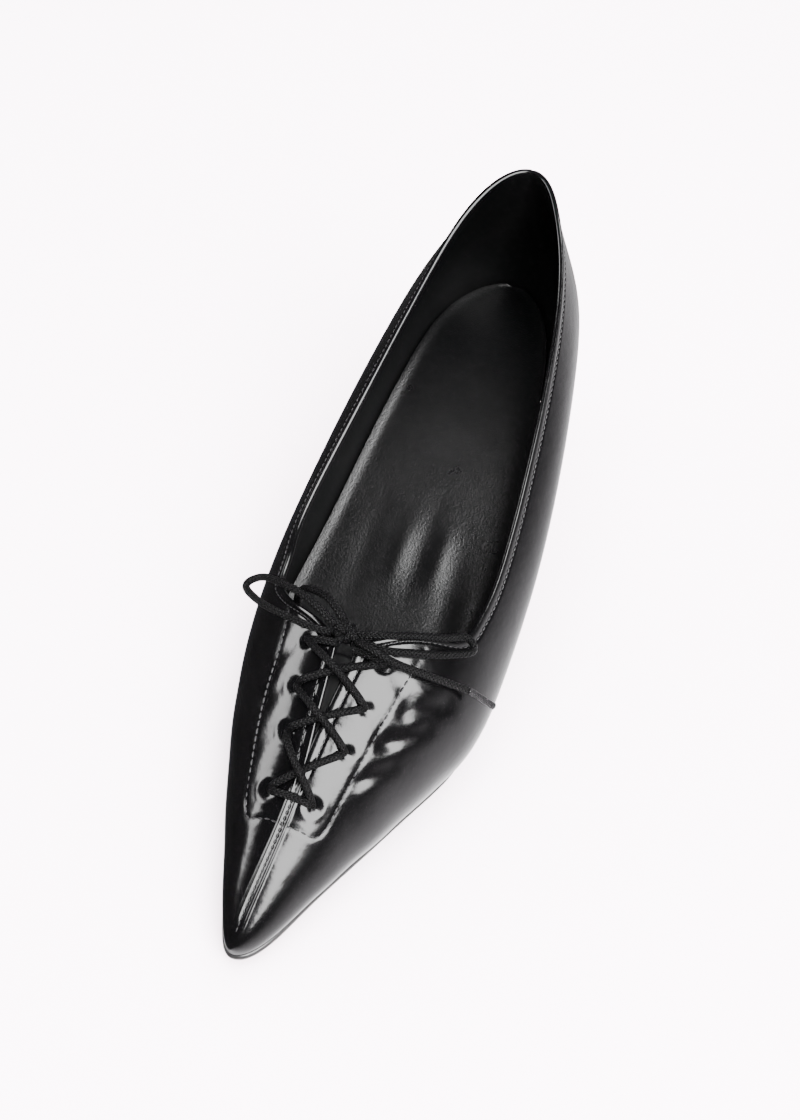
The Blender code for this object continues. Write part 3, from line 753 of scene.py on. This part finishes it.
def add_stitches(name, line, outward, stitch):
    """A row of short raised stitches along a line, in one piece."""
    pitch, length, half_width = stitch
    run = distance_along(line)
    centres = np.arange(pitch / 2, run[-1], pitch)
    points, faces = [], []
    for number, centre in enumerate(centres):
        spot = np.array([np.interp(centre, run, line[:, k]) for k in range(3)])
        ahead = np.array([np.interp(centre + 0.3, run, line[:, k]) for k in range(3)])
        behind = np.array([np.interp(centre - 0.3, run, line[:, k]) for k in range(3)])
        up = np.array([np.interp(centre, run, outward[:, k]) for k in range(3)])
        along = (ahead - behind) / max(1e-9, np.linalg.norm(ahead - behind))
        across = np.cross(along, up)
        across /= np.linalg.norm(across)
        for i in range(STITCH_RINGS):
            part = i / (STITCH_RINGS - 1)
            swell = math.sin(math.pi * (0.12 + 0.76 * part))
            ring_middle = spot + along * length * (part - 0.5) + up * half_width * 0.5 * (swell - 0.6)
            for j in range(STITCH_SIDES):
                angle = 2 * math.pi * j / STITCH_SIDES
                reach = across * math.cos(angle) + up * math.sin(angle)
                points.append(ring_middle + reach * half_width * swell)
        first = number * STITCH_SIDES * STITCH_RINGS
        last = first + STITCH_SIDES * (STITCH_RINGS - 1)
        faces += grid_faces(STITCH_RINGS, STITCH_SIDES, first, closed=True)
        faces.append(tuple(range(first, first + STITCH_SIDES)))
        faces.append(tuple(range(last, last + STITCH_SIDES))[::-1])
    add_mesh(name, points, faces, (THREAD,))


def edge_line(side, first, last, depth, lift, count):
    """A line that follows the top edge at a depth below it, with its outward directions."""
    places = np.linspace(first, last, count)
    levels = np.linspace(0.5, 1, 80)
    points, normals, below = skin_grid(places, levels, side)
    line, outward = [], []
    for i in range(count):
        line.append([np.interp(depth, below[i, ::-1], points[i, ::-1, k]) for k in range(3)])
        outward.append([np.interp(depth, below[i, ::-1], normals[i, ::-1, k]) for k in range(3)])
    outward = np.array(outward)
    outward /= np.linalg.norm(outward, axis=1, keepdims=True)
    return np.array(line) + outward * lift, outward


def make_edge_stitches(side, word):
    """The rows along the top edge and the V, and the one inside that holds the lining."""
    rows = (
        # name, first place, last place, points
        ("topline", 0.05, LAST_PLACE - 0.1, 420),
        ("v_edge", LAST_PLACE + 0.15, V_PLACE - 0.06, 120),
    )
    for name, first, last, count in rows:
        line, outward = edge_line(side, first, last, TOPLINE_STITCH_INSET, -STITCH_SINK, count)
        add_stitches(f"{name}_stitches_{word}", line, outward, TOPLINE_STITCH)
    line, outward = edge_line(side, *LINING_STITCH_PLACES, LINING_STITCH_INSET, -WALL - 0.1, 120)
    add_stitches(f"lining_stitches_{word}", line, -outward, LINING_STITCH)


def make_panel_stitches():
    line = panel_points(-STITCH_SINK)
    above = panel_points(3.0)
    parts, above_parts = np.linspace(0, 1, len(line)), np.linspace(0, 1, len(above))
    rise = np.stack([np.interp(parts, above_parts, above[:, k]) for k in range(3)], axis=1) - line
    rise /= np.linalg.norm(rise, axis=1, keepdims=True)
    add_stitches("panel_stitches", line, rise, PANEL_STITCH)


def make_seam_stitches():
    """The row along the vamp's centre seam, from the V to the toe."""
    stations = np.linspace(V_BOTTOM_STATION + 0.012, 0.985, 90)
    ridge = np.array([over_skin(s, float(RIDGE_X(turn_of(s))), 0.0) for s in stations])
    up = np.array([over_skin(s, float(RIDGE_X(turn_of(s))), 2.0) for s in stations]) - ridge
    up /= np.linalg.norm(up, axis=1, keepdims=True)
    add_stitches("seam_stitches", ridge + up * 0.02, up, SEAM_STITCH)


def make_stitches():
    make_edge_stitches(OUTER, "outer")
    make_edge_stitches(INNER, "inner")
    make_panel_stitches()
    make_seam_stitches()


# The sole, insole and tongue


def outline_point(turn, side, inset):
    """A point of the feather line, drawn in by the inset."""
    point = last_points(turn, 0.0, side)
    middle_y = HEEL_BACK_Y - SHOE_LENGTH / 2
    taper = min(1.0, abs(point[0] - float(RIDGE_X(turn))) / SOLE_TAPER)
    y = middle_y + (point[1] - middle_y) * (1 - 2 * inset / SHOE_LENGTH)
    return np.array((point[0] - side * inset * taper, y, point[2]))


def spaced_turns(first, last, count):
    return np.linspace(float(turn_of(first)), float(turn_of(last)), count + 1)


def make_outsole():
    """A thin sole with a rounded black edge and a tan underside."""
    rows = []
    for turn in spaced_turns(BREAST_STATION, 1.0, SOLE_ROWS):
        feather = float(FEATHER(turn))
        top, bottom = feather - SOLE_GAP, max(0.0, feather - SOLE_THICKNESS)
        ring = []
        for side, order in ((OUTER, 1), (INNER, -1)):
            half = []
            for inset, share, added in SOLE_PROFILE:
                point = outline_point(turn, side, inset)
                point[2] = bottom + (top - bottom) * share + added
                half.append(point)
            ring += half[::order]
        rows.append(ring)
    columns = len(rows[0])
    points = np.array(rows).reshape(-1, 3)
    faces = grid_faces(len(rows), columns, closed=True) + end_faces(len(rows), columns)
    underside = len(SOLE_PROFILE) - 1
    looks = [1 if j == underside else 0 for j in range(columns)] * (len(rows) - 1) + [0, 0]
    piece = add_mesh("sole_with_edge", points, faces, (SOLE_EDGE, SOLE_TAN), looks)
    keep_crisp(piece, 50)
    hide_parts("outsole")


def make_insole():
    """The sock: cupped at the edges, with soft folds along the forefoot."""
    rows = []
    for turn in spaced_turns(INSOLE_BACK, INSOLE_FRONT, SOCK_ROWS):
        station = float(station_of(turn))
        left = outline_point(turn, INNER, SOCK_INSET)
        right = outline_point(turn, OUTER, SOCK_INSET)
        row = []
        for j in range(SOCK_COLUMNS + 1):
            part = j / SOCK_COLUMNS
            point = left + (right - left) * part
            edge = 1 - abs(2 * part - 1)
            width = (right - left)[0] / 2
            cup = SOCK_CUP_HEIGHT * math.exp(-(edge * width / SOCK_CUP_WIDTH) ** 2)
            height = float(FEATHER(turn)) + INSOLE_THICKNESS + cup
            for x, first, last, half_width, rise in SOCK_FOLDS:
                span = (station - first) / (last - first)
                if 0 < span < 1:
                    narrowing = math.sin(math.pi * span) ** 2
                    height += rise * narrowing * math.exp(-((point[0] - x) / half_width) ** 2)
            row.append((point[0], point[1], height))
        rows.append(row)
    points = np.array(rows).reshape(-1, 3)
    faces = grid_faces(len(rows), SOCK_COLUMNS + 1, flip=True)
    piece = add_mesh("insole_sock", points, faces, (SOCK,))
    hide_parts("insole")


def make_tongue():
    """A strip under the V that follows the skin from a little way inside it."""
    rows = []
    for i in range(TONGUE_ROWS + 1):
        part = i / TONGUE_ROWS
        station = TONGUE_FRONT + (TONGUE_BACK - TONGUE_FRONT) * part
        half = TONGUE_HALF_FRONT + (TONGUE_HALF_BACK - TONGUE_HALF_FRONT) * part
        middle = float(RIDGE_X(turn_of(station)))
        across = [middle + half * j / TONGUE_COLUMNS for j in range(-TONGUE_COLUMNS, TONGUE_COLUMNS + 1)]
        top = [over_skin(station, x, -TONGUE_TOP_DEPTH) for x in across]
        under = [over_skin(station, x, -TONGUE_UNDER_DEPTH) for x in across[::-1]]
        rows.append(top + under)
    columns = len(rows[0])
    points = np.array(rows).reshape(-1, 3)
    faces = grid_faces(len(rows), columns, closed=True, flip=True) + end_faces(len(rows), columns, flip=True)
    piece = add_mesh("tongue_strip", points, faces, (TONGUE_SKIN,))
    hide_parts("tongue")


# The heel


def tip_outline(part, inset=0.0):
    """The heel tip's edge from its outer front corner round the back to the inner one."""
    half = HEEL_TIP_HALF - inset
    side_run = HEEL_TIP_LENGTH - HEEL_TIP_HALF
    arc = math.pi * half
    along = part * (2 * side_run + arc)
    middle_y = HEEL_TIP_BACK_Y - HEEL_TIP_HALF
    front_inset = inset if part == 0 else 0.0
    if along < side_run:
        return np.array((half, middle_y - side_run + front_inset + along, 0.0))
    if along > side_run + arc:
        return np.array((-half, middle_y - (along - side_run - arc), 0.0))
    angle = (along - side_run) / half
    return np.array((math.cos(angle) * half, middle_y + math.sin(angle) * half, 0.0))


def make_heel():
    """A slender heel that flares from its tip to the seat of the shoe."""
    turns = spaced_turns(0.0, BREAST_STATION, HEEL_ROWS)
    seat = [outline_point(turn, OUTER, 0.0) for turn in turns[::-1]]
    seat += [outline_point(turn, INNER, 0.0) for turn in turns[1:]]
    count = len(seat) - 1
    low_end = HEEL_TIP_HEIGHT + HEEL_GAP
    rows = []
    for level in range(HEEL_LEVELS + 1):
        part = level / HEEL_LEVELS
        spread = part ** HEEL_FLARE
        row = []
        for i, high in enumerate(seat):
            low = tip_outline(i / count)
            top = high[2] - HEEL_GAP
            x = low[0] + (high[0] - low[0]) * spread
            y = low[1] + (high[1] - low[1]) * spread
            row.append((x, y, low_end + (top - low_end) * part))
        rows.append(row)
    points = np.array(rows).reshape(-1, 3)
    faces = grid_faces(len(rows), len(seat), closed=True) + end_faces(len(rows), len(seat))
    piece = add_mesh("covered_heel", points, faces, (LEATHER,))
    keep_crisp(piece, 45)
    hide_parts("heel")


def make_heel_tip():
    rows = []
    columns = HEEL_TIP_POINTS + 1
    for height, inset in HEEL_TIP_PROFILE:
        lift = np.array((0, 0, height))
        rows.append([tip_outline(i / HEEL_TIP_POINTS, inset) + lift for i in range(columns)])
    points = np.array(rows).reshape(-1, 3)
    faces = grid_faces(len(rows), columns, closed=True) + end_faces(len(rows), columns)
    piece = add_mesh("heel_top_piece", points, faces, (RUBBER,))
    keep_crisp(piece, 50)
    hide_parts("heel_tip")


# The lace


def tube(path, radius):
    """Points, faces and UVs of a tube along a path; the UV runs in turns of the cord."""
    path = np.asarray(path, float)
    ahead = np.gradient(path, axis=0)
    ahead /= np.linalg.norm(ahead, axis=1, keepdims=True)
    side = np.cross(ahead[0], (0, 0, 1.0))
    if np.linalg.norm(side) < 0.1:
        side = np.array((1.0, 0, 0))
    frames = []
    for direction in ahead:
        side = side - direction * np.dot(side, direction)
        side /= np.linalg.norm(side)
        frames.append((side, np.cross(side, direction)))
    run = distance_along(path) / (2 * math.pi * radius)
    points, uvs = [], []
    for i, spot in enumerate(path):
        for k in range(TUBE_SIDES + 1):
            angle = 2 * math.pi * k / TUBE_SIDES
            reach = frames[i][0] * math.cos(angle) + frames[i][1] * math.sin(angle)
            points.append(spot + reach * radius)
            uvs.append((run[i] * 3, 3 * k / TUBE_SIDES))
    faces = grid_faces(len(path), TUBE_SIDES + 1, flip=True)
    faces.append(tuple(range(TUBE_SIDES)))
    start = (len(path) - 1) * (TUBE_SIDES + 1)
    faces.append(tuple(range(start, start + TUBE_SIDES))[::-1])
    return points, faces, uvs


def add_tubes(name, paths, radius, look):
    """One piece of several tubes."""
    points, faces, uvs = [], [], []
    for path in paths:
        new_points, new_faces, new_uvs = tube(path, radius)
        offset = len(points)
        faces += [tuple(i + offset for i in face) for face in new_faces]
        points += new_points
        uvs += new_uvs
    return add_mesh(name, points, faces, (look,), uvs=uvs)


def run_points(start, end, lowest, hump):
    """A run of lace over the vamp that comes out of one hole and goes into another."""
    run = distance_along(line_over_skin(start, end, LACE_RUN_STEPS))
    points = []
    for i in range(LACE_RUN_STEPS + 1):
        part = i / LACE_RUN_STEPS
        lift = lowest + hump * math.sin(math.pi * part) ** 2
        lift -= HOLE_DIP * math.exp(-(run[i] / HOLE_REACH) ** 2)
        lift -= HOLE_DIP * math.exp(-((run[-1] - run[i]) / HOLE_REACH) ** 2)
        station = start[0] + (end[0] - start[0]) * part
        points.append(over_skin(station, start[1] + (end[1] - start[1]) * part, lift))
    return smooth_route(points[::2], LACE_STEP)


def run_to_knot(station, x, side):
    """A run that comes out of a top hole and goes in under the knot."""
    into_knot = KNOT_RUN_OVERLAP - KNOT_HALF_DEPTH - LACE_TO_KNOT
    end = KNOT_CENTRE + np.array((side * KNOT_RUN_SPREAD, into_knot, KNOT_RUN_DROP))
    start = over_skin(station, x, LACE_LIFT)
    in_hole = over_skin(station, x, -1.4)
    leaving = over_skin(station, x * 0.97, 0.6)
    risen = start + (end - start) * KNOT_RUN_RISE_PART
    middle = (start + end) / 2 + np.array((0, 0, KNOT_RUN_HUMP))
    return smooth_route((in_hole, leaving, risen, middle, end), LACE_STEP)


def make_lacing():
    outer = [(row[0], row[1]) for row in LACE_HOLES]
    inner = [(row[0], row[2]) for row in LACE_HOLES]
    runs = [run_points(inner[0], outer[0], LACE_LIFT, 0.0)]
    for below in range(len(LACE_HOLES) - 1):
        runs.append(run_points(inner[below], outer[below + 1], LACE_LIFT, 0.0))
        runs.append(run_points(outer[below], inner[below + 1], LACE_LIFT + RUN_STAGGER, LACE_CROSSING_LIFT))
    runs.append(run_to_knot(*outer[-1], OUTER))
    runs.append(run_to_knot(*inner[-1], INNER))
    piece = add_tubes("lace_lacing", runs, LACE_RADIUS, BRAID)
    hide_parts("lace_crossings")


def make_knot():
    """Four short strands that cross under a band that goes round them."""
    turns = np.linspace(0, 2 * math.pi, 40)
    circle = np.stack((np.sin(turns), np.cos(turns), np.sin(turns)), axis=1)
    paths = [KNOT_CENTRE + circle * KNOT_BAND]
    for strand in KNOT_STRANDS:
        paths.append(smooth_route(KNOT_CENTRE + np.array(strand), KNOT_STEP))
    piece = add_tubes("bow_knot_wrap", paths, LACE_RADIUS, BRAID)
    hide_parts("bow_knot")
    return piece


def make_bow(knot):
    """The two loops and the two ends with their aglets: four free cords."""
    for name, route in CORD_ROUTES.items():
        path = smooth_route(route, CORD_STEP)
        piece = add_tubes(name + "_cord", [path], LACE_RADIUS, BRAID)
        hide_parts(name)
        is_loop = name.startswith("bow_loop")
        riding = [knot] if name == "bow_loop_inner" else []
        if not is_loop:
            riding = make_aglet(name.replace("lace_end", "aglet"))


def make_aglet(name):
    """A clear plastic sleeve with the lace's black end inside it."""
    route = smooth_route(AGLET_ROUTES[name], KNOT_STEP)
    sleeve = add_tubes(name + "_sleeve", [route], AGLET_RADIUS, CLEAR)
    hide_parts(name)
    core = add_tubes(name + "_core", [route[:-2]], AGLET_CORE_RADIUS, BRAID)
    return [sleeve, core]


# The floor, lights and camera


def add_stage(name, points, faces, look):
    """A part of the studio that lights the leather and doesn't show in it."""
    mesh = bpy.data.meshes.new(name)
    mesh.from_pydata(points, [], faces)
    mesh.materials.append(look)
    piece = bpy.data.objects.new(name, mesh)
    bpy.context.scene.collection.objects.link(piece)
    piece.visible_glossy = False


def make_floor():
    """A round pale floor with a pale wall far round it."""
    turns = [2 * math.pi * i / STUDIO_SIDES for i in range(STUDIO_SIDES)]
    ring = [(FLOOR_RADIUS * math.cos(turn), FLOOR_RADIUS * math.sin(turn)) for turn in turns]
    low_ring = [(x, y, FLOOR_LEVEL) for x, y in ring]
    high_ring = [(x, y, STUDIO_WALL_HEIGHT) for x, y in ring]
    add_stage("studio_floor", low_ring, [tuple(range(STUDIO_SIDES))], PALE_FLOOR)
    wall_faces = []
    for i in range(STUDIO_SIDES):
        after = (i + 1) % STUDIO_SIDES
        wall_faces.append((i, after, STUDIO_SIDES + after, STUDIO_SIDES + i))
    add_stage("studio_wall", low_ring + high_ring, wall_faces, PALE_WALL)


def add_softbox(name, place, width, height, watts, mirrored):
    """A soft light turned to the shoe."""
    lamp = bpy.data.lights.new(name, "AREA")
    lamp.shape = "RECTANGLE"
    lamp.size = width
    lamp.size_y = height
    lamp.energy = watts
    box = bpy.data.objects.new(name, lamp)
    aim = Vector(LIGHT_TARGET) - Vector(place)
    box.visible_glossy = mirrored
    box.matrix_world = Matrix.Translation(place) @ aim.to_track_quat("-Z", "Y").to_matrix().to_4x4()
    bpy.context.scene.collection.objects.link(box)


def dress_room(tree, back):
    """The room is dim on the shoe's inner side and pale on its outer side."""
    where = tree.nodes.new("ShaderNodeTexCoord")
    lean = tree.nodes.new("ShaderNodeVectorMath")
    lean.operation = "DOT_PRODUCT"
    lean.inputs[1].default_value = ROOM_SLOPE
    across = tree.nodes.new("ShaderNodeMapRange")
    set_input(across, "From Min", -1.0)
    levels = tree.nodes.new("ShaderNodeValToRGB")
    ramp = levels.color_ramp
    while len(ramp.elements) < len(ROOM_LEVELS):
        ramp.elements.new(0.5)
    for element, (place, level) in zip(ramp.elements, ROOM_LEVELS):
        element.position = place
        element.color = (level, level * 0.97, level, 1)
    tree.links.new(where.outputs["Generated"], lean.inputs[0])
    tree.links.new(lean.outputs["Value"], across.inputs["Value"])
    tree.links.new(across.outputs["Result"], levels.inputs["Fac"])
    tree.links.new(levels.outputs["Color"], back.inputs["Color"])


def make_light():
    world = bpy.data.worlds.new("studio")
    world.use_nodes = True
    back = world.node_tree.nodes["Background"]
    set_input(back, "Strength", 1.0)
    dress_room(world.node_tree, back)
    bpy.context.scene.world = world
    for light in LIGHTS:
        add_softbox(*light)


def make_camera():
    lens = bpy.data.cameras.new("photo_camera")
    lens.sensor_fit = "VERTICAL"
    lens.sensor_height = CAMERA_SENSOR_HEIGHT
    lens.lens = CAMERA_LENS
    lens.clip_start = 0.01
    camera = bpy.data.objects.new("photo_camera", lens)
    turns = Euler([math.radians(turn) for turn in CAMERA_TURNS])
    camera.matrix_world = Matrix.LocRotScale(Vector(to_world(CAMERA_PLACE)), turns, None)
    bpy.context.scene.collection.objects.link(camera)
    bpy.context.scene.camera = camera


make_upper()
make_stitches()
make_outsole()
make_insole()
make_tongue()
make_heel()
make_heel_tip()
make_lacing()
make_bow(make_knot())
make_floor()
make_light()
make_camera()
